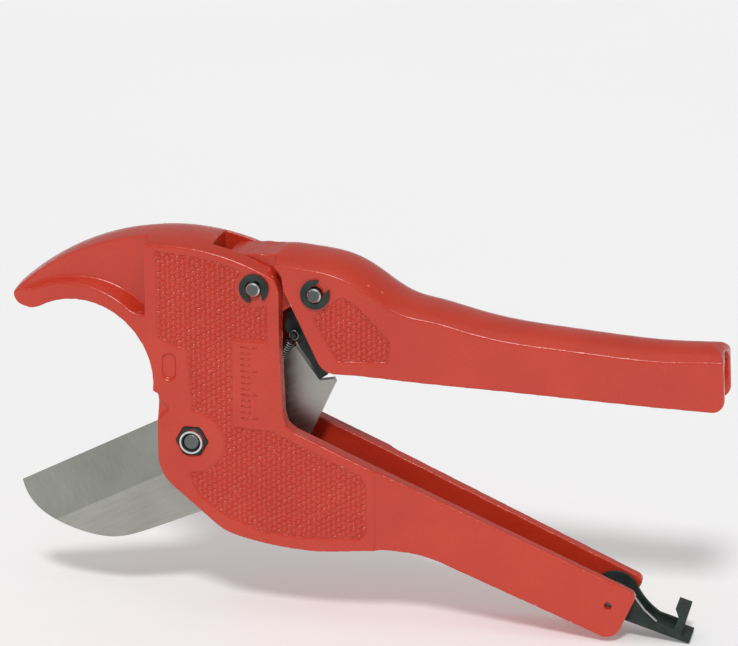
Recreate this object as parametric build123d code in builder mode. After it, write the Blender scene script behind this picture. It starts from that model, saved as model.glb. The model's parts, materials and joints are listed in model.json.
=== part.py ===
"""Ratchet pipe cutter for plastic pipe up to 42 mm.

Frame: origin at the centre of the round pipe seat in the hook, +X towards the handles' ends,
+Z up, Y across the tool's thickness with the front (nut and clip side) at -Y. Millimetres.
The tool stands fully open: blade down, upper handle raised.
"""

import os
from math import cos, hypot, radians, sin, sqrt

from build123d import *

# ---------------------------------------------------------------- driving dimensions
# side-view places are (x, z); "half" is half a thickness, measured from the mid-plane
JAW_RADIUS = 22.8
BACK_RADIUS = 67.0
BACK_CENTRE = (26.7, -24.2)
CROWN_DROP = 2.0

HEAD_HALF = 12.5
WEB_HALF = 7.0
CHEEK_GAP_HALF = 7.5
LOWER_END_HALF = 8.6
LOWER_STEP_X = 86.8
LOWER_STEP_HALF = 11.6
WALL = 2.5
HEAD_LEFT = 20.7
HEAD_RIGHT = 59.8
PATCH_DEPTH = 0.5
RIB_ROOT = ((9.0, 24.6), (14.0, 22.2), (18.0, 20.3), (22.5, 19.6), (22.5, 4.0))
JAW_FACET = ((22.0, -2.6), (27.6, -7.2), (22.0, -12.4))
FACET_DEPTH = 0.8
BOSS_RADIUS = 9.2
CLIP_RING = 5.6
SLOT_MARK = (27.6, 5.2)
SLOT_MARK_DEPTH = 0.9

BLADE_PIVOT = (34.1, -16.6)
HANDLE_PIVOT = (52.8, 29.9)
PAWL_PIVOT = (70.3, 29.1)
LATCH_PIVOT = (154.1, -58.4)

BLADE_HALF = 1.3
BLADE_SLOT_HALF = 2.3
BLADE_SWING = 72.5
EDGE_OFFSET = 7.5
EDGE_ANGLE = 26.6
OPEN_NORMAL = EDGE_ANGLE + 90.0
CLOSED_NORMAL = OPEN_NORMAL - BLADE_SWING
GRIND = 15.0
TIP = (-20.7, -36.0)
TAIL_TIP_RADIUS = 42.8
TAIL_ROOT_RADIUS = 38.9
TAIL_SLOT_RADIUS = TAIL_TIP_RADIUS + 1.4
# angle and radius round the blade's pivot
TOOTH_TIPS = ((44.0, 38.7), (62.0, 38.5), (80.0, 38.3), (96.0, 36.4))
TOOTH_ROOTS = ((45.5, 35.0), (63.5, 34.8), (81.5, 34.6))

UPPER_HALF = 12.0
UPPER_FLOOR = -12.0
UPPER_END = 181.0
TONGUE_HALF = 7.2
HUB_RADIUS = 8.8
CAVITY_START = 63.4
SPRING_GAP_HALF = 3.6
SPRING_POCKET = 6.6
UPPER_LEAN = -0.0375
UPPER_PATCH_HALF = 14.35
UPPER_PATCH = (
    (69.3, 22.3), (77.7, 28.8), (81.4, 26.7), (88.5, 19.8), (91.7, 15.9), (91.1, 10.1), (76.7, 9.6),
)

BOLT_RADIUS = 2.5
BOLT_FRONT = 13.3
BOLT_HEAD_FLATS = 8.0
BOLT_HEAD = 3.2
WASHER_RADIUS = 5.4
WASHER_THICK = 1.0
SPACER_RADIUS = 6.5
NUT_FLATS = 8.0
NUT_HEX = 3.4
NUT_COLLAR = 1.4
NUT_COLLAR_RADIUS = 3.7
INSERT_RADIUS = 2.85
POCKET_FLATS = 8.3
POCKET_DEPTH = 3.6
NUT_SEAT = HEAD_HALF - POCKET_DEPTH

PIN_RADIUS = 2.0
PIN_FIT = 0.05
PIN_HEAD_THICK = 1.4
PIN_OVERHANG = 2.0
CLIP_OUTER = 4.2
CLIP_INNER = 2.5
CLIP_THICK = 0.7

PAWL_HALF = 2.5
HOOK = (62.4, 14.6)
ANCHOR = (55.4, 2.0)
ANCHOR_RADIUS = 1.0
SPRING_Y = 4.9
SPRING_WIRE = 0.3
SPRING_COIL = 1.1

LATCH_ANGLE = -17.0
LATCH_HALF = 4.9
LATCH_PIN_RADIUS = 1.0
SHEET = 1.2

# casting outlines' named points
LOWER_TOP_START = (63.7, -11.8)
LOWER_TOP_END = (161.7, -54.3)
LOWER_BOTTOM_START = (106.0, -48.4)
LOWER_BOTTOM_END = (152.8, -67.8)
HOOK_TIP_X = -18.4

UPPER_STATIONS = [
    # distance along, height of the side face's top edge, height of the crown, half thickness
    (56.0, 36.0, 38.7, 12.0),
    (66.0, 36.1, 39.4, 12.0),
    (76.0, 34.4, 38.0, 12.0),
    (83.0, 31.2, 35.2, 11.8),
    (90.0, 26.7, 30.6, 11.5),
    (102.0, 22.9, 26.0, 11.0),
    (118.0, 19.1, 22.4, 10.4),
    (137.0, 16.7, 20.1, 9.8),
    (155.0, 15.2, 18.7, 9.3),
    (172.0, 14.7, 18.1, 8.9),
    (190.0, 14.4, 17.9, 8.5),
]


def polar(centre, radius, angle):
    """Point at a radius and an angle in degrees round a centre."""
    return (centre[0] + radius * cos(radians(angle)), centre[1] + radius * sin(radians(angle)))


def back_height(x, drop=0.0):
    """Height of the tool's round back above a given x."""
    return BACK_CENTRE[1] + sqrt((BACK_RADIUS - drop) ** 2 - (x - BACK_CENTRE[0]) ** 2)


def line_height(start, end, x):
    """Height at x of the straight line through two points."""
    return start[1] + (end[1] - start[1]) * (x - start[0]) / (end[0] - start[0])


def through(profile_half, mode=Mode.ADD):
    """Extrude the pending sketch the same amount to both sides of the mid-plane."""
    extrude(amount=profile_half, both=True, mode=mode)


# ---------------------------------------------------------------- body casting
HEAD_FOOT = (HEAD_LEFT, sqrt(JAW_RADIUS**2 - HEAD_LEFT**2))
JAW_STEP = polar((0, 0), JAW_RADIUS, -5.8)
HOOK_HEEL = polar((0, 0), JAW_RADIUS, 120.5)


def hook_outline():
    """Side outline of the hook, closed inside the head."""
    tip_top = (HOOK_TIP_X, back_height(HOOK_TIP_X))
    top_right = (30.0, back_height(30.0))
    ThreePointArc(top_right, (5.0, back_height(5.0)), tip_top)
    ThreePointArc(tip_top, (-19.3, 22.2), (-17.2, 19.8))
    ThreePointArc((-17.2, 19.8), (-14.6, 19.1), HOOK_HEEL)
    ThreePointArc(HOOK_HEEL, polar((0, 0), JAW_RADIUS, 55), JAW_STEP)
    Polyline(JAW_STEP, (30.0, JAW_STEP[1]), top_right)


def head_outline():
    """Side outline of the thick head, up to where the lower handle starts."""
    Polyline((64.0, -46.9), (64.0, -12.0), (61.6, -10.0), (60.7, -6.5), (59.9, 12.5), (HEAD_RIGHT, 29.0))
    ThreePointArc((HEAD_RIGHT, 29.0), (57.9, 33.4), (52.5, 37.4))
    Polyline((52.5, 37.4), (52.5, 50.0), (HEAD_LEFT, 50.0))
    Line((HEAD_LEFT, 50.0), HEAD_FOOT)
    ThreePointArc(HEAD_FOOT, polar((0, 0), JAW_RADIUS, 7), JAW_STEP)
    Polyline(JAW_STEP, (24.4, -3.2), (23.9, -11.0), (23.9, -21.0))
    ThreePointArc((23.9, -21.0), (25.2, -26.6), (27.9, -30.2))
    Line((27.9, -30.2), (41.1, -41.2))
    Spline((41.1, -41.2), (51.5, -45.2), (64.0, -46.9), tangents=[(0.77, -0.64), (1.0, -0.04)])


def lower_outline():
    """Side outline of the lower handle, started inside the head."""
    Polyline((56.0, -44.0), (56.0, -10.0), (60.9, -9.0))
    ThreePointArc((60.9, -9.0), (61.9, -10.6), LOWER_TOP_START)
    Line(LOWER_TOP_START, (160.4, line_height(LOWER_TOP_START, LOWER_TOP_END, 160.4)))
    ThreePointArc((160.4, line_height(LOWER_TOP_START, LOWER_TOP_END, 160.4)), (161.6, -55.0), (161.3, -57.0))
    Line((161.3, -57.0), (157.7, -65.1))
    ThreePointArc((157.7, -65.1), (155.8, -67.3), LOWER_BOTTOM_END)
    Line(LOWER_BOTTOM_END, LOWER_BOTTOM_START)
    Spline(
        LOWER_BOTTOM_START,
        (90.0, -45.8),
        (74.0, -47.1),
        (62.0, -46.8),
        tangents=[(-0.92, 0.38), (-1.0, 0.1)],
    )
    Line((62.0, -46.8), (56.0, -44.0))


def crown_section():
    """Half section of the crowned back, turned round the back's centre."""
    rim = BACK_RADIUS - CROWN_DROP
    Polyline((rim, -HEAD_HALF), (0.0, -HEAD_HALF), (0.0, HEAD_HALF), (rim, HEAD_HALF))
    ThreePointArc((rim, HEAD_HALF), (BACK_RADIUS, 0.0), (rim, -HEAD_HALF))


back_plane = Plane(origin=(BACK_CENTRE[0], 0, BACK_CENTRE[1]), x_dir=(1, 0, 0), z_dir=(0, 0, 1))
back_axis = Axis((BACK_CENTRE[0], 0, BACK_CENTRE[1]), (0, 1, 0))

with BuildPart() as hook:
    with BuildSketch(Plane.XZ):
        with BuildLine():
            hook_outline()
        make_face()
    through(WEB_HALF)
    with BuildSketch(Plane.XZ):
        with BuildLine():
            hook_outline()
        make_face()
        with BuildSketch(mode=Mode.INTERSECT):
            Circle(JAW_RADIUS + 3.4)
            with Locations((-20.0, 19.0)):
                Rectangle(12.0, 11.6)
            with BuildLine():
                Polyline(*RIB_ROOT, close=True)
            make_face()
    through(HEAD_HALF)
    with BuildSketch(Plane.XY):
        with BuildLine():
            Polyline(
                (JAW_RADIUS + 2.6, 0.0),
                (JAW_RADIUS + 2.6, HEAD_HALF),
                (JAW_RADIUS + 3.4, HEAD_HALF),
                (JAW_RADIUS + 6.2, WEB_HALF),
                (JAW_RADIUS + 6.2, 0.0),
                close=True,
            )
        make_face()
        mirror(about=Plane.XZ)
    revolve(axis=Axis.Y, revolution_arc=-125)
    with BuildSketch(Plane.XZ):
        with BuildLine():
            hook_outline()
        make_face()
    through(HEAD_HALF, Mode.INTERSECT)

with BuildPart() as body:
    with BuildSketch(Plane.XZ):
        with BuildLine():
            head_outline()
        make_face()
    through(HEAD_HALF)
    add(hook)
    with BuildSketch(back_plane):
        with BuildLine():
            crown_section()
        make_face()
    revolve(axis=back_axis, mode=Mode.INTERSECT)
    with BuildSketch(Plane.XY.offset(-60)):
        with BuildLine():
            Polyline(
                (-24.0, -7.6), (HEAD_LEFT, -HEAD_HALF), (70.0, -HEAD_HALF), (70.0, HEAD_HALF),
                (HEAD_LEFT, HEAD_HALF), (-24.0, 7.6), close=True,
            )
        make_face()
    extrude(amount=120, mode=Mode.INTERSECT)


def channel_outline():
    """Side outline of the wide cavity: slot in the back, head, and the lower handle's channel."""
    Polyline(
        (39.5, 60.0), (39.5, 20.0), (46.5, 8.0), (46.5, -4.0), (49.0, -20.0), (49.0, -39.0), (60.0, -43.0),
        (76.0, -43.8), (92.0, -42.8), (107.1, -45.6), (170.0, -71.6), (170.0, 60.0), close=True,
    )


def blade_slot_outline():
    """Area that the blade sweeps in front of the closed cutting edge, and its tail behind it."""
    up = (cos(radians(CLOSED_NORMAL)), sin(radians(CLOSED_NORMAL)))
    along = (-up[1], up[0])
    reach = EDGE_OFFSET + 0.8
    corners = []
    for away, far in ((reach, -16.0), (reach, 62.0), (-62.0, 62.0), (-62.0, -16.0)):
        corners.append((
            BLADE_PIVOT[0] + away * up[0] + far * along[0],
            BLADE_PIVOT[1] + away * up[1] + far * along[1],
        ))
    Polyline(*corners, close=True)


with BuildPart() as lower:
    with BuildSketch(Plane.XZ):
        with BuildLine():
            lower_outline()
        make_face()
    through(HEAD_HALF)
    with BuildSketch(Plane.XY.offset(-80)):
        with BuildLine():
            Polyline(
                (40.0, -HEAD_HALF), (LOWER_STEP_X, -HEAD_HALF), (LOWER_STEP_X + 1.0, -LOWER_STEP_HALF),
                (161.7, -LOWER_END_HALF), (161.7, LOWER_END_HALF), (LOWER_STEP_X + 1.0, LOWER_STEP_HALF),
                (LOWER_STEP_X, HEAD_HALF), (40.0, HEAD_HALF), close=True,
            )
        make_face()
    extrude(amount=90, mode=Mode.INTERSECT)

with BuildPart() as channel:
    with BuildSketch(Plane.XZ):
        with BuildLine():
            channel_outline()
        make_face()
    through(CHEEK_GAP_HALF)
    with BuildSketch(Plane.XY.offset(-80)):
        with BuildLine():
            Polyline(
                (30.0, -CHEEK_GAP_HALF), (LOWER_STEP_X, -CHEEK_GAP_HALF), (170.0, 3.2 - LOWER_END_HALF),
                (170.0, LOWER_END_HALF - 3.2), (LOWER_STEP_X, CHEEK_GAP_HALF), (30.0, CHEEK_GAP_HALF),
                close=True,
            )
        make_face()
    extrude(amount=160, mode=Mode.INTERSECT)

with BuildPart() as blade_slot:
    with BuildSketch(Plane.XZ):
        with BuildLine():
            blade_slot_outline()
        make_face()
        with BuildLine():
            Line(BLADE_PIVOT, polar(BLADE_PIVOT, TAIL_SLOT_RADIUS, -110))
            ThreePointArc(
                polar(BLADE_PIVOT, TAIL_SLOT_RADIUS, -110),
                polar(BLADE_PIVOT, TAIL_SLOT_RADIUS, -5),
                polar(BLADE_PIVOT, TAIL_SLOT_RADIUS, 107),
            )
            Line(polar(BLADE_PIVOT, TAIL_SLOT_RADIUS, 107), BLADE_PIVOT)
        make_face()
    through(BLADE_SLOT_HALF)


def patch_outline():
    """Outline of the textured recess on the head, which goes round the blade's boss."""
    Polyline(
        polar(BLADE_PIVOT, BOSS_RADIUS, -95), (33.3, -27.5), (36.2, -33.0), (43.5, -38.0), (54.4, -42.3),
        (65.6, -43.3), (83.2, -42.5), (85.2, -40.2), (85.2, -27.3), (83.7, -23.8), (57.6, -12.0),
        (46.2, -11.4),
        (46.2, 14.3), (56.5, 14.3), (56.5, 27.0), (52.0, 33.6), (45.5, 35.9), (36.0, 38.0), (23.8, 39.1),
        (24.2, 14.1), (30.4, 11.2), (32.7, 10.7), (33.7, -4.1), polar(BLADE_PIVOT, BOSS_RADIUS, 90),
    )
    ThreePointArc(
        polar(BLADE_PIVOT, BOSS_RADIUS, 90), polar(BLADE_PIVOT, BOSS_RADIUS, -12),
        polar(BLADE_PIVOT, BOSS_RADIUS, -95),
    )


def at(point, offset=0.0):
    """Plane across the tool at a side-view point, facing the front, offset towards the front."""
    return Plane(origin=(point[0], -offset, point[1]), x_dir=(1, 0, 0), z_dir=(0, -1, 0))


def bore(point, radius, start, length):
    """Cut a round hole along the thickness, from one offset towards the back."""
    with BuildSketch(at(point, start)) as hole:
        Circle(radius)
    extrude(hole.sketch, amount=-length, mode=Mode.SUBTRACT)


def shaft(point, radius, start, length):
    """Add a round length of shaft, from one offset towards the back."""
    with BuildSketch(at(point, start)) as section:
        Circle(radius)
    extrude(section.sketch, amount=-length)


with body:
    add(lower)
    add(channel, mode=Mode.SUBTRACT)
    add(blade_slot, mode=Mode.SUBTRACT)
    for side in (-1, 1):
        face = Plane.XZ.offset(-side * HEAD_HALF)
        with BuildSketch(face):
            with BuildLine():
                patch_outline()
            make_face()
            with Locations(HANDLE_PIVOT):
                Circle(CLIP_RING, mode=Mode.SUBTRACT)
        extrude(amount=side * PATCH_DEPTH, mode=Mode.SUBTRACT)
        with BuildSketch(face):
            with Locations(SLOT_MARK):
                SlotOverall(7.8, 4.0, rotation=90)
        extrude(amount=side * SLOT_MARK_DEPTH, mode=Mode.SUBTRACT)
        with BuildSketch(face):
            with BuildLine():
                Polyline(*JAW_FACET, close=True)
            make_face()
        extrude(amount=side * FACET_DEPTH, mode=Mode.SUBTRACT)
    bore(BLADE_PIVOT, BOLT_RADIUS + PIN_FIT, 30, 60)
    bore(HANDLE_PIVOT, PIN_RADIUS + PIN_FIT, 30, 60)
    bore(LATCH_PIVOT, LATCH_PIN_RADIUS + PIN_FIT, 30, 60)
    bore(ANCHOR, ANCHOR_RADIUS + PIN_FIT, CHEEK_GAP_HALF + 2.0, 3.0)
    with BuildSketch(at(BLADE_PIVOT, HEAD_HALF)):
        RegularPolygon(POCKET_FLATS / 2, 6, major_radius=False, rotation=0)
    extrude(amount=-POCKET_DEPTH, mode=Mode.SUBTRACT)


# ---------------------------------------------------------------- upper handle

def upper_form(thinner):
    """Long arched form of the upper handle, a wall's thickness smaller when asked."""
    sections = []
    for x, edge, crown, half in UPPER_STATIONS:
        side = half - thinner
        with BuildSketch(Plane(origin=(x, 0, 0), x_dir=(0, 1, 0), z_dir=(1, 0, 0))) as section:
            with BuildLine():
                Polyline((side, edge - thinner), (side, UPPER_FLOOR), (-side, UPPER_FLOOR))
                Line((-side, UPPER_FLOOR), (-side, edge - thinner))
                ThreePointArc((-side, edge - thinner), (0.0, crown - thinner), (side, edge - thinner))
            make_face()
        sections.append(section.sketch)
    loft(sections)


def upper_outline():
    """Side outline of the upper handle's full-width part."""
    Polyline((UPPER_END, 45.0), (57.6, 45.0), (58.2, 36.8), (60.4, 33.4), (61.0, 29.4), (63.6, 24.2))
    Line((63.6, 24.2), (70.9, 8.9))
    ThreePointArc((70.9, 8.9), (73.0, 6.7), (76.6, 5.9))
    Spline(
        (76.6, 5.9), (94.0, 5.0), (125.0, 3.4), (149.0, 2.1), (181.6, 0.7), tangents=[(1, 0), (1, -0.03)]
    )
    ThreePointArc((181.6, 0.7), (184.2, 1.5), (185.4, 4.2))
    Line((185.4, 4.2), (184.9, 14.0))
    ThreePointArc((184.9, 14.0), (184.0, 16.6), (UPPER_END, 18.3))
    Line((UPPER_END, 18.3), (UPPER_END, 45.0))


with BuildPart() as upper_inside:
    upper_form(WALL)
    with BuildSketch(Plane.XZ):
        with Locations((CAVITY_START, 0)):
            Rectangle(150, 100, align=(Align.MIN, Align.CENTER))
    through(UPPER_HALF, Mode.INTERSECT)

with BuildPart() as upper_handle:
    upper_form(0.0)
    with BuildSketch(Plane.XZ):
        with BuildLine():
            upper_outline()
        make_face()
    through(UPPER_HALF, Mode.INTERSECT)
    add(upper_inside, mode=Mode.SUBTRACT)
    with BuildSketch(Plane.XZ):
        with Locations(HANDLE_PIVOT):
            Circle(HUB_RADIUS)
        with BuildLine():
            Polyline(
                (41.6, 30.0), (41.6, 35.6), (43.4, 37.9), (47.0, 38.4), (60.0, 38.7), (64.6, 38.4),
                (64.6, 26.0), (63.4, 24.4), (58.0, 21.0), (52.8, 25.0), close=True,
            )
        make_face()
    through(TONGUE_HALF)
    with BuildSketch(Plane.XZ):
        with Locations(HANDLE_PIVOT):
            Circle(SPRING_POCKET)
        with BuildLine():
            Polyline((52.8, 23.4), (40.0, 26.0), (40.0, 10.0), (66.0, 10.0), (62.0, 24.6), close=True)
        make_face()
    through(SPRING_GAP_HALF, Mode.SUBTRACT)
    bore(HANDLE_PIVOT, PIN_RADIUS + PIN_FIT, 30, 60)
    bore(PAWL_PIVOT, PIN_RADIUS + PIN_FIT, 30, 60)
    for side in (-1, 1):
        floor = Plane(
            origin=(0, side * UPPER_PATCH_HALF, 0),
            x_dir=(1, side * UPPER_LEAN, 0),
            z_dir=(-UPPER_LEAN, side, 0),
        )
        with BuildSketch(floor) as recess:
            with BuildLine():
                Polyline(*[(x, side * -z) for x, z in UPPER_PATCH], close=True)
            make_face()
        extrude(recess.sketch, amount=2.0, mode=Mode.SUBTRACT)


# ---------------------------------------------------------------- blade
def edge_point(along):
    """Point on the open cutting edge, counted from the foot of the pivot's normal."""
    foot = polar(BLADE_PIVOT, EDGE_OFFSET, OPEN_NORMAL)
    return (foot[0] + along * cos(radians(EDGE_ANGLE)), foot[1] + along * sin(radians(EDGE_ANGLE)))


def blade_outline():
    """Edge, belly, back, and the ratchet steps of the tail."""
    steps = [
        polar(BLADE_PIVOT, TAIL_TIP_RADIUS, 22.9),
        polar(BLADE_PIVOT, TAIL_TIP_RADIUS, 24.6),
        polar(BLADE_PIVOT, TAIL_ROOT_RADIUS, 26.1),
    ]
    for (tip_angle, tip_radius), (root_angle, root_radius) in zip(TOOTH_TIPS, TOOTH_ROOTS):
        steps.append(polar(BLADE_PIVOT, tip_radius, tip_angle))
        steps.append(polar(BLADE_PIVOT, root_radius, root_angle))
    steps.append(polar(BLADE_PIVOT, TOOTH_TIPS[-1][1], TOOTH_TIPS[-1][0]))
    steps.append(polar(BLADE_PIVOT, 12.0, 101.0))
    steps.append(edge_point(-3.0))
    Line(edge_point(-3.0), TIP)
    Spline(TIP, (-10.0, -47.6), (5.0, -51.4), (19.8, -47.4), tangents=[(0.25, -0.97), (0.92, 0.39)])
    Line((19.8, -47.4), (56.0, -31.9))
    ThreePointArc((56.0, -31.9), (60.5, -28.0), (63.2, -22.4))
    Line((63.2, -22.4), steps[0])
    Polyline(*steps)


with BuildPart() as blade:
    with BuildSketch(Plane.XZ):
        with BuildLine():
            blade_outline()
        make_face()
    through(BLADE_HALF)
    normal = (cos(radians(OPEN_NORMAL)), 0, sin(radians(OPEN_NORMAL)))
    grind_start = edge_point(-9.0)
    with BuildSketch(
        Plane(
            origin=(grind_start[0], 0, grind_start[1]),
            x_dir=normal,
            z_dir=(-cos(radians(EDGE_ANGLE)), 0, -sin(radians(EDGE_ANGLE))),
        )
    ):
        with BuildLine():
            Polyline((-GRIND, BLADE_HALF), (1.0, BLADE_HALF), (1.0, 0.1), (0.0, 0.1), close=True)
        make_face()
        mirror(about=Plane(origin=(0, 0, 0), x_dir=(1, 0, 0), z_dir=(0, 1, 0)))
    extrude(amount=70.0, mode=Mode.SUBTRACT)
    bore(BLADE_PIVOT, BOLT_RADIUS + PIN_FIT, 10, 20)


# ---------------------------------------------------------------- fasteners
with BuildPart() as blade_bolt:
    shaft(BLADE_PIVOT, BOLT_RADIUS, BOLT_FRONT, BOLT_FRONT + HEAD_HALF + WASHER_THICK)
    chamfer(edges().group_by(Axis.Y)[0], 0.5)
    with BuildSketch(at(BLADE_PIVOT, -HEAD_HALF - WASHER_THICK)):
        RegularPolygon(BOLT_HEAD_FLATS / 2, 6, major_radius=False)
    extrude(amount=-BOLT_HEAD)

with BuildPart() as bolt_washer:
    with BuildSketch(at(BLADE_PIVOT, -HEAD_HALF)):
        Circle(WASHER_RADIUS)
        Circle(BOLT_RADIUS + PIN_FIT, mode=Mode.SUBTRACT)
    extrude(amount=-WASHER_THICK)

with BuildPart() as blade_washers:
    for start in (BLADE_SLOT_HALF - PIN_FIT, -BLADE_HALF - PIN_FIT):
        with BuildSketch(at(BLADE_PIVOT, start)):
            Circle(SPACER_RADIUS)
            Circle(BOLT_RADIUS + PIN_FIT, mode=Mode.SUBTRACT)
        extrude(amount=-(BLADE_SLOT_HALF - BLADE_HALF - 2 * PIN_FIT))

with BuildPart() as blade_nut:
    with BuildSketch(at(BLADE_PIVOT, NUT_SEAT)):
        RegularPolygon(NUT_FLATS / 2, 6, major_radius=False)
    extrude(amount=NUT_HEX)
    with BuildSketch(at(BLADE_PIVOT, NUT_SEAT + NUT_HEX)):
        Circle(NUT_COLLAR_RADIUS)
    extrude(amount=NUT_COLLAR, taper=14)
    bore(BLADE_PIVOT, BOLT_RADIUS + PIN_FIT, 20, 20)
    bore(BLADE_PIVOT, INSERT_RADIUS, 20, 20 - NUT_SEAT - NUT_HEX - 0.2)

with BuildPart() as nut_insert:
    with BuildSketch(at(BLADE_PIVOT, NUT_SEAT + NUT_HEX + 0.2)):
        Circle(INSERT_RADIUS)
        Circle(BOLT_RADIUS + PIN_FIT, mode=Mode.SUBTRACT)
    extrude(amount=0.9)


def clipped_pin(point, half, opening):
    """Headed pin with a groove for an E-clip, and the clip, for a joint of a given half thickness."""
    groove = half + 0.1
    with BuildPart() as pin:
        shaft(point, PIN_RADIUS, half + PIN_OVERHANG, 2 * half + PIN_OVERHANG)
        chamfer(edges().group_by(Axis.Y)[0], 0.4)
        shaft(point, PIN_RADIUS + 1.4, -half, PIN_HEAD_THICK)
        with BuildSketch(at(point, groove)):
            Circle(PIN_RADIUS + 1)
            Circle(PIN_RADIUS - 0.4, mode=Mode.SUBTRACT)
        extrude(amount=CLIP_THICK + 0.1, mode=Mode.SUBTRACT)
    with BuildPart() as clip:
        with BuildSketch(at(point, groove + 0.05)):
            Circle(CLIP_OUTER)
            Circle(CLIP_INNER, mode=Mode.SUBTRACT)
            with Locations(Location((0, 0, 0), (0, 0, opening))):
                with Locations((-2.4, 0), (0, 2.4), (0, -2.4)):
                    Rectangle(1.8, 1.5)
            Circle(PIN_RADIUS - 0.35, mode=Mode.SUBTRACT)
            with Locations(Location((0, 0, 0), (0, 0, opening))):
                with Locations((4.0, 0)):
                    Rectangle(4.4, 3.6, mode=Mode.SUBTRACT)
        extrude(amount=CLIP_THICK)
    return pin, clip


handle_pin, handle_pin_clip = clipped_pin(HANDLE_PIVOT, HEAD_HALF, -78)
pawl_pin, pawl_pin_clip = clipped_pin(PAWL_PIVOT, UPPER_HALF, 48)

# ---------------------------------------------------------------- pawl
with BuildPart() as pawl:
    with BuildSketch(Plane.XZ):
        with Locations(PAWL_PIVOT):
            Circle(4.6)
        with BuildLine():
            Polyline((66.0, 27.4), (62.4, 12.4), (64.2, 9.5), (66.6, 6.2), (68.8, 1.8))
            ThreePointArc((68.8, 1.8), (69.3, 1.3), (69.7, 1.5))
            Polyline((69.7, 1.5), (71.6, 2.8), (67.6, 12.4), (74.7, 27.4), (66.0, 27.4))
        make_face()
    through(PAWL_HALF)
    with BuildSketch(at((0, 0), 3.3)):
        with Locations(PAWL_PIVOT):
            Circle(4.4)
        with BuildLine():
            Polyline(
                (66.6, 31.0), (64.0, 23.6), (60.4, 20.8), (59.4, 16.4), (61.0, 13.0), (64.2, 12.6),
                (73.0, 25.4), close=True,
            )
        make_face()
    extrude(amount=-1.5)
    shaft(HOOK, 0.8, 6.0, 3.0)
    bore(PAWL_PIVOT, PIN_RADIUS + PIN_FIT, 10, 20)

with BuildPart() as pawl_spacers:
    for start, length in ((8.9, 4.8), (-PAWL_HALF - 0.1, 6.3)):
        with BuildSketch(at(PAWL_PIVOT, start)):
            Circle(3.0)
            Circle(PIN_RADIUS + PIN_FIT, mode=Mode.SUBTRACT)
        extrude(amount=-length)

# ---------------------------------------------------------------- springs
with BuildPart() as spring_anchor_pin:
    shaft(ANCHOR, ANCHOR_RADIUS, CHEEK_GAP_HALF + 1.9, 5.8)

run = (HOOK[0] - ANCHOR[0], HOOK[1] - ANCHOR[1])
run_length = hypot(*run)
run_dir = (run[0] / run_length, run[1] / run_length)


def on_run(distance):
    """Side-view point on the spring's line, counted from the anchor."""
    return (ANCHOR[0] + run_dir[0] * distance, ANCHOR[1] + run_dir[1] * distance)


with BuildPart() as pawl_spring:
    coil_start = on_run(1.7)
    coil_foot = (coil_start[0], -SPRING_Y, coil_start[1])
    with BuildSketch(Plane(origin=coil_foot, x_dir=(0, 1, 0), z_dir=(run_dir[0], 0, run_dir[1]))):
        Circle(SPRING_COIL + SPRING_WIRE)
        Circle(SPRING_COIL - SPRING_WIRE, mode=Mode.SUBTRACT)
    extrude(amount=run_length - 3.4)
    for centre in (ANCHOR, HOOK):
        with BuildSketch(at(centre, SPRING_Y + SPRING_WIRE)):
            Circle(1.9)
            Circle(1.3, mode=Mode.SUBTRACT)
        extrude(amount=-2 * SPRING_WIRE)

with BuildPart() as handle_spring:
    with BuildSketch(at(HANDLE_PIVOT, 3.0)):
        Circle(4.2)
        Circle(3.0, mode=Mode.SUBTRACT)
    extrude(amount=-6.0)

# ---------------------------------------------------------------- latch
latch_plane = Plane(
    origin=(LATCH_PIVOT[0], 0, LATCH_PIVOT[1]),
    x_dir=(cos(radians(LATCH_ANGLE)), 0, sin(radians(LATCH_ANGLE))),
    z_dir=(0, -1, 0),
)


def latch_side():
    """Outline of one side wall of the latch."""
    Polyline((4.6, -3.8), (20.0, -3.8), (20.0, -1.4), (14.3, -1.4))
    ThreePointArc((14.3, -1.4), (9.8, 0.6), (6.2, 3.4))
    ThreePointArc((6.2, 3.4), (1.6, 6.0), (-4.4, 3.9))
    ThreePointArc((-4.4, 3.9), (-4.6, -3.0), (4.6, -3.8))


with BuildPart() as latch:
    with BuildSketch(latch_plane):
        with BuildLine():
            latch_side()
        make_face()
    through(LATCH_HALF)
    with BuildSketch(latch_plane):
        with Locations((5.0, 2.4)):
            Rectangle(40.0, 10.0)
    through(LATCH_HALF - SHEET, Mode.SUBTRACT)
    with BuildSketch(latch_plane):
        with BuildLine():
            Polyline(
                (4.6, -3.8), (25.0, -3.8), (25.0, -2.6), (22.2, -2.6), (22.0, 4.8), (18.2, 4.8),
                (19.8, 2.6), (19.8, -2.6), (4.6, -2.6), close=True,
            )
        make_face()
    through(LATCH_HALF)
    bore(LATCH_PIVOT, LATCH_PIN_RADIUS + PIN_FIT, 10, 20)

with BuildPart() as latch_pin:
    shaft(LATCH_PIVOT, LATCH_PIN_RADIUS, 7.0, 14.0)

with BuildPart() as latch_spring:
    with BuildSketch(at(LATCH_PIVOT, 2.4)):
        Circle(2.3)
        Circle(1.4, mode=Mode.SUBTRACT)
    extrude(amount=-4.8)


PIECES = {
    "body_casting": body,
    "upper_handle": upper_handle,
    "blade": blade,
    "blade_bolt": blade_bolt,
    "bolt_washer": bolt_washer,
    "blade_washers": blade_washers,
    "blade_nut": blade_nut,
    "nut_insert": nut_insert,
    "handle_pin": handle_pin,
    "handle_pin_clip": handle_pin_clip,
    "pawl_pin": pawl_pin,
    "pawl_pin_clip": pawl_pin_clip,
    "pawl": pawl,
    "pawl_spacers": pawl_spacers,
    "spring_anchor_pin": spring_anchor_pin,
    "pawl_spring": pawl_spring,
    "handle_spring": handle_spring,
    "latch": latch,
    "latch_pin": latch_pin,
    "latch_spring": latch_spring,
}

os.makedirs("parts", exist_ok=True)
for name, piece in PIECES.items():
    piece.part.label = name
    export_step(piece.part, f"parts/{name}.step")
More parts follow.
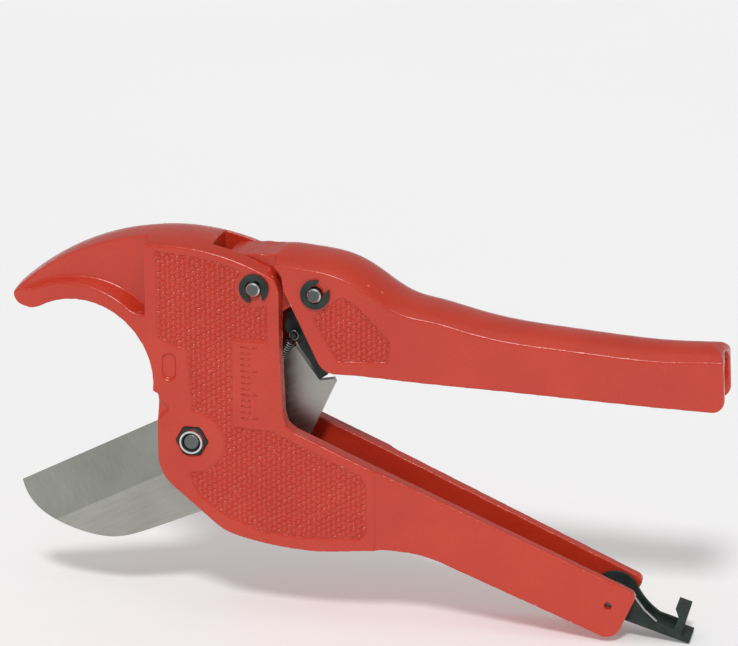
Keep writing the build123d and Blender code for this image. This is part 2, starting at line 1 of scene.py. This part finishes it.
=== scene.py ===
"""Looks of the plastic pipe cutter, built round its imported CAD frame.

Blender units are metres. Sizes named below are in millimetres and scaled by MM where they are used.
"""

import json
import math

import bmesh
import bpy
from mathutils import Matrix, Vector


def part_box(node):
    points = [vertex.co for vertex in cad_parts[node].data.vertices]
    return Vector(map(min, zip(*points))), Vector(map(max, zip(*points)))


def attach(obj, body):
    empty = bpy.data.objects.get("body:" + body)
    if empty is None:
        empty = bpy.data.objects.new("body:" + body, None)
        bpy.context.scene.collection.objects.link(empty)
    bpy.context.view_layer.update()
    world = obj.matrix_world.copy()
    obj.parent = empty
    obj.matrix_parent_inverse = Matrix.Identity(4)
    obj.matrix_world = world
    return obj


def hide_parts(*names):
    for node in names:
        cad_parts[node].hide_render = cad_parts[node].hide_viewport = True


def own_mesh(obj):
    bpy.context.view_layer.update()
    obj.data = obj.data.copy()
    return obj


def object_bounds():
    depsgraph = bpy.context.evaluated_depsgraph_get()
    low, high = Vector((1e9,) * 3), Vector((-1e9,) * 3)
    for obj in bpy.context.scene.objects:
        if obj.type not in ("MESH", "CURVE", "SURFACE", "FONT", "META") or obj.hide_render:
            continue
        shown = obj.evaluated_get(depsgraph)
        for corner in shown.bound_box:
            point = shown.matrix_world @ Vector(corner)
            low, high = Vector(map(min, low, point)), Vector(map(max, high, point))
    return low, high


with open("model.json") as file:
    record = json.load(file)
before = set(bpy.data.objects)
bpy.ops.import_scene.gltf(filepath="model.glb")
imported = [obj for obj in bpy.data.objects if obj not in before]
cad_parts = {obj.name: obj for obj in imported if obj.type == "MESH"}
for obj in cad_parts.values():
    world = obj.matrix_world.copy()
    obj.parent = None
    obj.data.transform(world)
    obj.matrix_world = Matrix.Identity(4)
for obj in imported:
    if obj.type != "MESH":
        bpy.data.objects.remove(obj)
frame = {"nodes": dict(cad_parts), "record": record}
cad_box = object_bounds()

MM = 0.001

# ---------------------------------------------------------------- sizes, mm
GRID = 0.33
EDGE_ROUNDS = 4
FLAT = 0.9
HEAD_FLOOR_REACH = 0.13
HANDLE_FLOOR_REACH = 0.12
STUD_COLUMN = 1.45
STUD_PITCH = 1.65
STUD_BASE = 0.08
STUD_HEIGHT = 0.38
STUD_WOBBLE = 0.09
STUD_HALF_WIDTH = 0.76
STUD_HALF_HEIGHT = 0.88
MARK_COUNT = 13
MARK_PITCH = 1.75
MARK_START = Vector((48.6, 0.0, -8.6))
MARK_LONG = 5.0
MARK_SHORT = 3.0
HEAD_HALF = 12.5
RECESS = 0.5
HANDLE_RECESS_START = 14.35
HANDLE_RECESS_SLOPE = 0.0375

ANCHOR = Vector((55.4, -4.9, 2.0))
HOOK = Vector((62.4, -4.9, 14.6))
HANDLE_PIN = Vector((52.8, 0.0, 29.9))
NUT_COLLAR = 3.85
LATCH_PIN = Vector((154.1, 0.0, -58.4))
LATCH_ANGLE = -17.0
FLOOR_GAP = 0.2

CAMERA_PLACE = Vector((294.1, -967.7, 309.6))
CAMERA_AZIMUTH = 12.3
CAMERA_ELEVATION = 16.4
CAMERA_LENS = 177.9


# ---------------------------------------------------------------- materials
def material(name, metallic, roughness, **extra):
    """New node material; returns it with its node tree and shader."""
    made = bpy.data.materials.new(name)
    made.use_nodes = True
    tree = made.node_tree
    shader = tree.nodes["Principled BSDF"]
    shader.inputs["Metallic"].default_value = metallic
    shader.inputs["Roughness"].default_value = roughness
    for socket, value in extra.items():
        shader.inputs[socket.replace("_", " ")].default_value = value
    return made, tree, shader


def noise(tree, scale, detail=4.0, stretch=(1, 1, 1), turn=0.0):
    """Noise in object space, per metre, optionally stretched after turning about Y."""
    place = tree.nodes.new("ShaderNodeTexCoord")
    mapping = tree.nodes.new("ShaderNodeMapping")
    mapping.vector_type = "TEXTURE"
    mapping.inputs["Rotation"].default_value = (0.0, math.radians(turn), 0.0)
    mapping.inputs["Scale"].default_value = stretch
    texture = tree.nodes.new("ShaderNodeTexNoise")
    texture.inputs["Scale"].default_value = scale
    texture.inputs["Detail"].default_value = detail
    tree.links.new(place.outputs["Object"], mapping.inputs["Vector"])
    tree.links.new(mapping.outputs["Vector"], texture.inputs["Vector"])
    return texture.outputs["Fac"]


def ramp(tree, value, stops):
    """Colour ramp over a value, from (position, colour) pairs."""
    node = tree.nodes.new("ShaderNodeValToRGB")
    elements = node.color_ramp.elements
    while len(elements) < len(stops):
        elements.new(0.5)
    for element, (position, colour) in zip(elements, stops):
        element.position = position
        element.color = (*colour, 1.0)
    tree.links.new(value, node.inputs["Fac"])
    return node.outputs["Color"]


def grey(value):
    """The same number three times, for ramps that carry a value."""
    return (value, value, value)


def bump(tree, shader, value, strength, distance):
    """Relief from a value, in metres, chained onto what the shader already has."""
    node = tree.nodes.new("ShaderNodeBump")
    node.inputs["Strength"].default_value = strength
    node.inputs["Distance"].default_value = distance
    tree.links.new(value, node.inputs["Height"])
    for link in list(shader.inputs["Normal"].links):
        tree.links.new(link.from_socket, node.inputs["Normal"])
    tree.links.new(node.outputs["Normal"], shader.inputs["Normal"])


def red_paint(name, edge_highlight):
    """Satin red paint on a casting: faint mottling, orange peel, and paler edges that are a painted
    highlight, their strength set by the second argument.
    """
    made, tree, shader = material(name, 0.0, 0.3, Specular_IOR_Level=0.55)
    mottled = ramp(tree, noise(tree, 60.0), [(0.3, (0.53, 0.034, 0.014)), (0.7, (0.59, 0.044, 0.019))])
    # painted highlight: convex edges, found by pointiness, are mixed towards a pale red
    geometry = tree.nodes.new("ShaderNodeNewGeometry")
    edge_highlight_stops = [(0.47, grey(0.0)), (0.53, grey(0.0)), (0.64, grey(edge_highlight))]
    edges = ramp(tree, geometry.outputs["Pointiness"], edge_highlight_stops)
    mix = tree.nodes.new("ShaderNodeMix")
    mix.data_type = "RGBA"
    tree.links.new(edges, mix.inputs["Factor"])
    tree.links.new(mottled, mix.inputs["A"])
    # pale red of the painted edge highlight
    mix.inputs["B"].default_value = (0.86, 0.28, 0.20, 1.0)
    tree.links.new(mix.outputs["Result"], shader.inputs["Base Color"])
    rough = ramp(tree, noise(tree, 350.0), [(0.3, grey(0.19)), (0.7, grey(0.31))])
    tree.links.new(rough, shader.inputs["Roughness"])
    bump(tree, shader, noise(tree, 600.0, 3.0), 0.6, 0.00018)
    bump(tree, shader, noise(tree, 4500.0, 2.0), 0.15, 0.00004)
    return made


def steel(name, dark, light, roughness, brush, turn, metallic=1.0):
    """Metal with fine brush lines along a direction in the side view and cloudy tone."""
    made, tree, shader = material(name, metallic, roughness)
    stretch = (brush, 1.0, 1.0)
    lines = noise(tree, 1800.0, 3.0, stretch, turn)
    clouds = noise(tree, 40.0, 5.0)
    tone = ramp(tree, clouds, [(0.3, dark), (0.7, light)])
    streak = ramp(tree, lines, [(0.3, grey(0.86)), (0.7, grey(1.0))])
    mix = tree.nodes.new("ShaderNodeMix")
    mix.data_type = "RGBA"
    mix.blend_type = "MULTIPLY"
    mix.inputs["Factor"].default_value = 1.0
    tree.links.new(tone, mix.inputs["A"])
    tree.links.new(streak, mix.inputs["B"])
    tree.links.new(mix.outputs["Result"], shader.inputs["Base Color"])
    rough = ramp(tree, lines, [(0.25, grey(roughness - 0.07)), (0.75, grey(roughness + 0.07))])
    tree.links.new(rough, shader.inputs["Roughness"])
    bump(tree, shader, lines, 0.2, 0.00002)
    return made


def dark_finish(name, low, high, roughness):
    """Black oxide or dark nylon: uneven dark tone with a fine grain."""
    made, tree, shader = material(name, 0.0, roughness, Specular_IOR_Level=0.3)
    tone = ramp(tree, noise(tree, 250.0), [(0.3, low), (0.7, high)])
    tree.links.new(tone, shader.inputs["Base Color"])
    rough = ramp(tree, noise(tree, 900.0), [(0.3, grey(roughness - 0.1)), (0.7, grey(roughness + 0.1))])
    tree.links.new(rough, shader.inputs["Roughness"])
    bump(tree, shader, noise(tree, 2500.0, 2.0), 0.2, 0.00003)
    return made


MATERIALS = {
    # 0.75 sets the strength of the painted edge highlight on the casting paint
    "red_paint": red_paint("red_paint", 0.75),
    "blade_steel": steel("blade_steel", (0.37, 0.375, 0.345), (0.49, 0.495, 0.46), 0.38, 12.0, -26.6),
    "zinc": steel("zinc", (0.62, 0.62, 0.62), (0.80, 0.80, 0.79), 0.24, 3.0, 0.0),
    "dark_nylon": dark_finish("dark_nylon", (0.018, 0.020, 0.022), (0.035, 0.037, 0.04), 0.45),
    "pin_steel": steel("pin_steel", (0.11, 0.12, 0.12), (0.20, 0.21, 0.21), 0.36, 2.0, 0.0),
    "dark_steel": dark_finish("dark_steel", (0.014, 0.024, 0.021), (0.03, 0.045, 0.040), 0.5),
    "spring_steel": steel("spring_steel", (0.16, 0.16, 0.155), (0.28, 0.28, 0.27), 0.33, 2.0, 0.0),
}
# the same paint without the painted edge highlight, for studded faces and scale marks
STUDDED_RED = red_paint("red_paint_studded", 0.0)
GROUND_STEEL = steel("ground_steel", (0.29, 0.30, 0.27), (0.39, 0.395, 0.365), 0.36, 12.0, 63.4)
# pale steel for chamfers: a painted highlight, a lit copy of the pins' steel
CHAMFER_HIGHLIGHT_STEEL = steel("chamfer_highlight_steel", (0.60, 0.60, 0.60), (0.78, 0.78, 0.77), 0.25, 3.0, 0.0)


# ---------------------------------------------------------------- pieces
def settled(piece):
    """Turn a piece with modifiers, or a curve, into a plain smooth mesh of the same name."""
    graph = bpy.context.evaluated_depsgraph_get()
    mesh = bpy.data.meshes.new_from_object(piece.evaluated_get(graph))
    name = piece.name
    bpy.data.objects.remove(piece)
    done = bpy.data.objects.new(name, mesh)
    bpy.context.collection.objects.link(done)
    mesh.shade_smooth()
    return done


def finished(piece, slot, body, *nodes):
    """Give a piece its material, its body and the CAD nodes it stands for."""
    piece.data.materials.clear()
    piece.data.materials.append(MATERIALS[slot])
    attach(piece, body)
    if nodes:
        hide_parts(*nodes)


def painted(piece, body, node, studded):
    """Give a casting its red paint, without the painted edge highlight on its studded faces."""
    finished(piece, "red_paint", body, node)
    piece.data.materials.append(STUDDED_RED)
    for number in studded:
        piece.data.polygons[number].material_index = 1


def rounded_casting(name, node):
    """The CAD casting rebuilt on a fine even grid, its edges rounded as cast and painted ones are."""
    piece = bpy.data.objects.new(name, frame["nodes"][node].data.copy())
    bpy.context.collection.objects.link(piece)
    grid = piece.modifiers.new("grid", "REMESH")
    grid.mode = "VOXEL"
    grid.voxel_size = GRID * MM
    soften = piece.modifiers.new("soften", "SMOOTH")
    soften.factor = 0.5
    soften.iterations = EDGE_ROUNDS
    return settled(piece)


def stud(x, z):
    """Height from 0 to 1 of the staggered rows of small round studs."""
    best = 0.0
    column = round(x / STUD_COLUMN)
    for c in (column - 1, column, column + 1):
        shift = 0.5 * STUD_PITCH * (c % 2)
        row = round((z - shift) / STUD_PITCH)
        centre_x = c * STUD_COLUMN + STUD_WOBBLE * math.sin(12.9 * c + 78.2 * row)
        centre_z = row * STUD_PITCH + shift + STUD_WOBBLE * math.sin(39.3 * c + 11.1 * row)
        away = math.hypot((x - centre_x) / STUD_HALF_WIDTH, (z - centre_z) / STUD_HALF_HEIGHT)
        best = max(best, min(1.0, 2.0 * (1.0 - away * away)))
    return best


def add_studs(piece, on_floor):
    """Raise studs on the faces of a recess, which on_floor picks by a point in mm and a normal.

    Returns the numbers of those faces.
    """
    shape = bmesh.new()
    shape.from_mesh(piece.data)
    picked = [f for f in shape.faces if on_floor(f.calc_center_median() / MM, f.normal)]
    edges = list({e for f in picked for e in f.edges})
    bmesh.ops.subdivide_edges(shape, edges=edges, cuts=1, use_grid_fill=True)
    shape.normal_update()
    studded = [i for i, f in enumerate(shape.faces) if on_floor(f.calc_center_median() / MM, f.normal)]
    for vertex in shape.verts:
        place = vertex.co / MM
        if on_floor(place, vertex.normal):
            rise = STUD_BASE + STUD_HEIGHT * stud(place.x, place.z)
            vertex.co.y += math.copysign(rise * MM, place.y)
    shape.to_mesh(piece.data)
    shape.free()
    piece.data.shade_smooth()
    return studded


def head_floor(place, normal):
    """True on the floor of the head's textured recess, on either side."""
    in_recess = abs(abs(place.y) - (HEAD_HALF - RECESS)) < HEAD_FLOOR_REACH and abs(normal.y) > FLAT
    in_slot_mark = place.x < 31.0 and -2.0 < place.z < 10.0
    return in_recess and not in_slot_mark and place.x > 23.5


def handle_floor(place, normal):
    """True on the floor of the upper handle's textured recess, on either side."""
    floor = HANDLE_RECESS_START - HANDLE_RECESS_SLOPE * place.x
    in_recess = abs(abs(place.y) - floor) < HANDLE_FLOOR_REACH and abs(normal.y) > FLAT
    return in_recess and 69.5 < place.x < 91.5 and 9.8 < place.z < 28.6 and place.y * normal.y > 0


def wire(name, points, radius):
    """Round wire along points in mm."""
    curve = bpy.data.curves.new(name, "CURVE")
    curve.dimensions = "3D"
    curve.bevel_depth = radius * MM
    curve.bevel_resolution = 3
    curve.use_fill_caps = True
    spline = curve.splines.new("POLY")
    spline.points.add(len(points) - 1)
    for target, point in zip(spline.points, points):
        target.co = (*(Vector(point) * MM), 1.0)
    piece = bpy.data.objects.new(name, curve)
    bpy.context.collection.objects.link(piece)
    return settled(piece)


def helix(start, along, radius, turns, length, phase=0.0, steps=20):
    """Points of a helix in mm that winds round a direction from a start point."""
    along = along.normalized()
    side = along.cross(Vector((0, 1, 0)))
    if side.length < 0.1:
        side = Vector((1, 0, 0))
    side.normalize()
    other = along.cross(side)
    points = []
    for i in range(round(turns * steps) + 1):
        angle = phase + 2 * math.pi * i / steps
        ahead = along * (length * i / (turns * steps))
        points.append(start + ahead + radius * (math.cos(angle) * side + math.sin(angle) * other))
    return points


def hooked_end(centre, towards, radius, outwards):
    """Points of the open loop that hooks a tension spring on a pin along Y."""
    start = math.atan2(towards.z, towards.x)
    points = []
    for i in range(15):
        angle = start + outwards * (math.radians(20) + math.radians(300) * i / 14)
        points.append(centre + radius * Vector((math.cos(angle), 0, math.sin(angle))))
    return points


# ---------------------------------------------------------------- castings
body = rounded_casting("body_shell", "body_casting")
painted(body, "body", "body_casting", add_studs(body, head_floor))

handle = rounded_casting("upper_handle_shell", "upper_handle")
painted(handle, "upper_handle", "upper_handle", add_studs(handle, handle_floor))


def scale_marks():
    """Raised row of graduation bars on the smooth panel of each cheek."""
    shape = bmesh.new()
    for side in (-1, 1):
        for i in range(MARK_COUNT):
            length = MARK_LONG if i % 4 == 0 else MARK_SHORT
            centre = MARK_START + Vector((length / 2, side * (HEAD_HALF - 0.1), MARK_PITCH * i))
            size = Matrix.Diagonal((length * MM, 0.5 * MM, 0.55 * MM, 1.0))
            bmesh.ops.create_cube(shape, size=1.0, matrix=Matrix.Translation(centre * MM) @ size)
    bmesh.ops.bevel(shape, geom=shape.edges[:], offset=0.13 * MM, segments=2, affect="EDGES")
    mesh = bpy.data.meshes.new("scale_marks")
    shape.to_mesh(mesh)
    shape.free()
    mesh.shade_smooth()
    piece = bpy.data.objects.new("scale_marks", mesh)
    bpy.context.collection.objects.link(piece)
    return piece


marks = scale_marks()
finished(marks, "red_paint", "body")
marks.data.materials[0] = STUDDED_RED

# ---------------------------------------------------------------- springs
run = (HOOK - ANCHOR).normalized()
coil_start = ANCHOR + 2.0 * run
coil_length = (HOOK - ANCHOR).length - 4.0
coil = helix(coil_start, run, 1.2, 15, coil_length)
spring_points = hooked_end(ANCHOR, run, 1.5, -1)[::-1] + coil + hooked_end(HOOK, -run, 1.3, 1)
tension = wire("pawl_spring_wire", spring_points, 0.28)
finished(tension, "spring_steel", "body", "pawl_spring")
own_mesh(tension)

torsion = helix(HANDLE_PIN + Vector((0, -2.4, 0)), Vector((0, 1, 0)), 3.6, 4.5, 4.8, steps=24)
torsion = [HANDLE_PIN + Vector((3.6, -2.4, -4.8))] + torsion + [HANDLE_PIN + Vector((-3.6, 2.4, -5.0))]
finished(wire("handle_spring_wire", torsion, 0.5), "spring_steel", "body", "handle_spring")


def on_latch(u, v, y):
    """Point in mm given along and across the latch, whose u axis leans down by LATCH_ANGLE."""
    c = math.cos(math.radians(LATCH_ANGLE))
    s = math.sin(math.radians(LATCH_ANGLE))
    return LATCH_PIN + Vector((u * c - v * s, y, u * s + v * c))


latch_coil = helix(LATCH_PIN + Vector((0, 2.2, 0)), Vector((0, -1, 0)), 1.75, 4.25, 4.6, steps=24)
latch_leg = [on_latch(1.5, 5.2, -4.1), on_latch(3.4, 5.2, -4.3), on_latch(6.3, 3.6, -4.3),
             on_latch(9.9, 1.0, -4.3), on_latch(14.3, -1.0, -4.3)]
finished(wire("latch_spring_wire", latch_coil + latch_leg, 0.33), "zinc", "latch", "latch_spring")

# ---------------------------------------------------------------- machined pieces
EDGE_BREAK = {
    "blade_bolt": 0.12, "blade_nut": 0.15, "nut_insert": 0.08, "bolt_washer": 0.12, "handle_pin": 0.12,
    "pawl_pin": 0.12, "handle_pin_clip": 0.1, "pawl_pin_clip": 0.1, "latch": 0.22, "pawl": 0.15,
}
slots = {part["node"]: part["material_slot"] for part in frame["record"]["subparts"]}
for node, thing in frame["nodes"].items():
    thing.data.materials.clear()
    thing.data.materials.append(MATERIALS[slots[node]])
    if node in EDGE_BREAK:
        broken = thing.modifiers.new("edge_break", "BEVEL")
        broken.width = EDGE_BREAK[node] * MM
        broken.segments = 2
        broken.limit_method = "ANGLE"
        broken.angle_limit = math.radians(35)
        broken.harden_normals = True


def second_finish(node, finish, chosen):
    """Give another finish to the faces of a CAD node that chosen picks by centre in mm and normal."""
    mesh = frame["nodes"][node].data
    mesh.materials.append(finish)
    for face in mesh.polygons:
        if chosen(face.center / MM, face.normal):
            face.material_index = len(mesh.materials) - 1


def on_chamfer(place, normal):
    """True on a shaft's chamfered front end."""
    return 0.3 < abs(normal.y) < 0.97 and place.y < 0


def on_front_end(place, normal):
    """True on a shaft's flat front end."""
    return abs(normal.y) > 0.97 and place.y < 0


def on_shaded_hexagon(place, normal):
    """True on the nut outside its round collar, which is painted dark as the shade of the nut's pocket."""
    return math.hypot(place.x - bolt_centre.x, place.z - bolt_centre.z) > NUT_COLLAR


def on_ground_bevel(place, normal):
    """True on the blade's slanted ground faces."""
    return 0.9 < abs(normal.y) < 0.9995


# painted highlight: the chamfered front ends of the pins and the bolt get the pale steel
for node in ("handle_pin", "pawl_pin", "blade_bolt"):
    second_finish(node, CHAMFER_HIGHLIGHT_STEEL, on_chamfer)
second_finish("blade_bolt", MATERIALS["pin_steel"], on_front_end)
bolt_centre = sum((Vector(corner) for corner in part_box("blade_nut")), Vector()) / 2 / MM
# painted shade: the hexagon around the collar gets the dark steel finish in place of the shade of its
# pocket
second_finish("blade_nut", MATERIALS["dark_steel"], on_shaded_hexagon)
second_finish("blade", GROUND_STEEL, on_ground_bevel)


# ---------------------------------------------------------------- floor, lights and camera
def stage_floor():
    """Plain pale floor at the tool's lowest point."""
    glow = {"Emission_Color": (1, 1, 1, 1), "Emission_Strength": 0.16}
    made, tree, shader = material("pale_floor", 0.0, 0.75, **glow)
    tone = ramp(tree, noise(tree, 3.0), [(0.3, grey(0.90)), (0.7, grey(0.92))])
    tree.links.new(tone, shader.inputs["Base Color"])
    mesh = bpy.data.meshes.new("floor")
    reach = 4.0
    low = cad_box[0][2] - FLOOR_GAP * MM
    corners = [(-reach, -reach, low), (reach, -reach, low), (reach, reach, low), (-reach, reach, low)]
    mesh.from_pydata(corners, [], [(0, 1, 2, 3)])
    mesh.materials.append(made)
    floor = bpy.data.objects.new("floor", mesh)
    bpy.context.collection.objects.link(floor)


def soft_sun(name, azimuth, elevation, spread, strength):
    """Broad soft light from a direction, its azimuth counted from the front (-Y) towards -X."""
    lamp = bpy.data.lights.new(name, "SUN")
    lamp.angle = math.radians(spread)
    lamp.energy = strength
    light = bpy.data.objects.new(name, lamp)
    across, up = math.radians(azimuth), math.radians(elevation)
    place = Vector((-math.sin(across) * math.cos(up), -math.cos(across) * math.cos(up), math.sin(up)))
    light.rotation_euler = place.to_track_quat("Z", "Y").to_euler()
    bpy.context.collection.objects.link(light)


stage_floor()
soft_sun("key", -6.0, 48.0, 10.0, 1.58)
soft_sun("top", -20.0, 80.0, 60.0, 0.3)

world = bpy.data.worlds.new("studio")
world.use_nodes = True
world.node_tree.nodes["Background"].inputs["Color"].default_value = (1.0, 1.0, 1.0, 1.0)
world.node_tree.nodes["Background"].inputs["Strength"].default_value = 0.35
bpy.context.scene.world = world
bpy.context.scene.view_settings.view_transform = "Standard"

azimuth = math.radians(CAMERA_AZIMUTH)
elevation = math.radians(CAMERA_ELEVATION)
look = Vector((
    -math.sin(azimuth) * math.cos(elevation), math.cos(azimuth) * math.cos(elevation), -math.sin(elevation)
))
camera_data = bpy.data.cameras.new("camera")
camera_data.lens = CAMERA_LENS
camera_data.clip_end = 20.0
camera = bpy.data.objects.new("camera", camera_data)
camera.location = CAMERA_PLACE * MM
camera.rotation_euler = look.to_track_quat("-Z", "Y").to_euler()
bpy.context.collection.objects.link(camera)
bpy.context.scene.camera = camera
